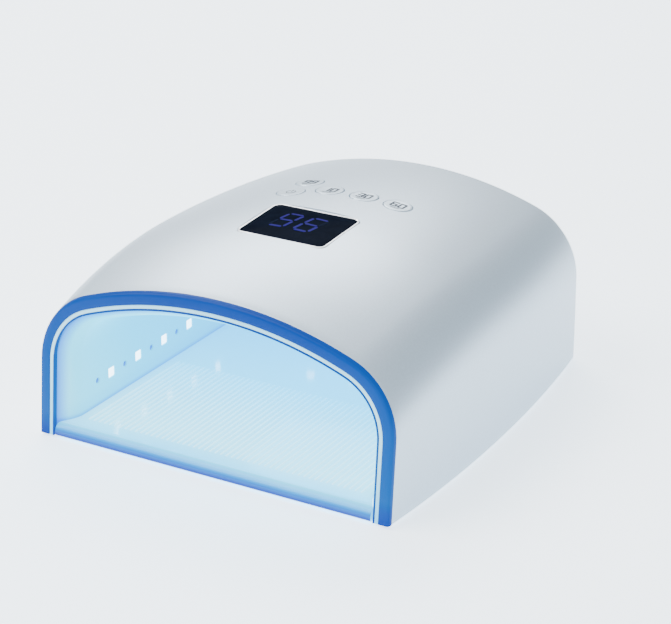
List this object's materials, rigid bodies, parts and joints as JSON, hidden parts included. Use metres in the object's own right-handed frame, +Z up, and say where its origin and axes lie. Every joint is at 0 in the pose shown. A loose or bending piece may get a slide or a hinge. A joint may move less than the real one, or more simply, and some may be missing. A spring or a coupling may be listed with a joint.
{
  "type": "uv led nail lamp",
  "caption": "Cordless UV LED nail lamp: arched pearl shell with a lit blue front rim, display, push buttons and a pull-out glossy floor tray.",
  "frame": {"origin": "centre of the footprint on the table, under the feet", "axes": "+X to the right seen from the front, -Y out of the hand opening, +Z up"},
  "size_m": [0.2, 0.22, 0.1004],
  "materials": {
    "shell_pearl": "satin pearl silver",
    "rim_blue": "translucent royal blue",
    "diffuser_ice": "milky, lit from behind",
    "liner_white": "smooth reflective white",
    "frame_grey": "fine texture",
    "rubber_dark": "matt",
    "tray_ice": "glossy, ribbed floor",
    "feet_clear": "soft translucent",
    "nickel": "nickel plated",
    "steel": "zinc plated",
    "bezel_silver": "bright silver",
    "window_black": "smoked, polished",
    "module_black": "moulded",
    "pcb_green": "solder mask",
    "pcb_white": "white solder mask on aluminium",
    "pcb_blue": "solder mask",
    "led_white": "clear lens over phosphor",
    "led_blue": "clear blue lens",
    "cell_wrap": "shrink-wrapped cell",
    "cradle_black": "moulded",
    "strap_black": "elastic",
    "pin_brass": "plated",
    "wire_red": "insulated wire",
    "button_pearl": "satin pearl silver",
    "plunger_white": "moulded"
  },
  "bodies": {
    "root": {"outer_shell": "shell_pearl", "light_rim": "rim_blue", "rim_diffuser": "diffuser_ice", "inner_liner": "liner_white", "bottom_frame": "frame_grey", "rubber_feet": "rubber_dark", "catch_plates": "steel", "display_bezel": "bezel_silver", "display_window": "window_black", "display_module": "module_black", "control_board": "pcb_green", "tact_switches": "module_black", "led_board_left": "pcb_white", "led_board_right": "pcb_white", "led_board_rear": "pcb_white", "led_board_roof_left": "pcb_white", "led_board_roof_right": "pcb_white", "square_leds_left": "led_white", "square_leds_right": "led_white", "square_leds_rear": "led_white", "square_leds_roof": "led_white", "round_leds_left": "led_blue", "round_leds_right": "led_blue", "hand_sensor": "module_black", "battery_cells": "cell_wrap", "cell_tabs": "nickel", "battery_cradle": "cradle_black", "battery_strap": "strap_black", "battery_board": "pcb_blue", "charge_board": "pcb_green", "dc_inlet": "module_black", "dc_pin": "pin_brass", "frame_screws": "steel", "liner_screws": "steel", "control_board_screws": "steel", "charge_board_screws": "steel", "led_wires_left": "wire_red", "led_wires_right": "wire_red", "battery_wires": "wire_red", "inlet_wires": "wire_red"},
    "tray": {"base_tray": "tray_ice", "tray_feet": "feet_clear", "tray_magnets": "nickel"},
    "key_10s": {"button_10s": "button_pearl", "plunger_10s": "plunger_white"},
    "key_30s": {"button_30s": "button_pearl", "plunger_30s": "plunger_white"},
    "key_60s": {"button_60s": "button_pearl", "plunger_60s": "plunger_white"},
    "key_99s": {"button_99s": "button_pearl", "plunger_99s": "plunger_white"},
    "key_power": {"button_power": "button_pearl", "plunger_power": "plunger_white"}
  },
  "joints": [
    {"name": "tray_slide", "type": "slide", "parent": "root", "child": "tray", "axis": [0, -1, 0], "range_m": [0, 0.15]},
    {"name": "press_10s", "type": "slide", "parent": "root", "child": "key_10s", "axis": [0, 0, -1], "range_m": [0, 0.0006], "stiffness_N_per_m": 300, "springref_m": -0.002},
    {"name": "press_30s", "type": "slide", "parent": "root", "child": "key_30s", "axis": [0, 0, -1], "range_m": [0, 0.0006], "stiffness_N_per_m": 300, "springref_m": -0.002},
    {"name": "press_60s", "type": "slide", "parent": "root", "child": "key_60s", "axis": [0, 0, -1], "range_m": [0, 0.0006], "stiffness_N_per_m": 300, "springref_m": -0.002},
    {"name": "press_99s", "type": "slide", "parent": "root", "child": "key_99s", "axis": [0, 0, -1], "range_m": [0, 0.0006], "stiffness_N_per_m": 300, "springref_m": -0.002},
    {"name": "press_power", "type": "slide", "parent": "root", "child": "key_power", "axis": [0, 0, -1], "range_m": [0, 0.0006], "stiffness_N_per_m": 300, "springref_m": -0.002}
  ]
}
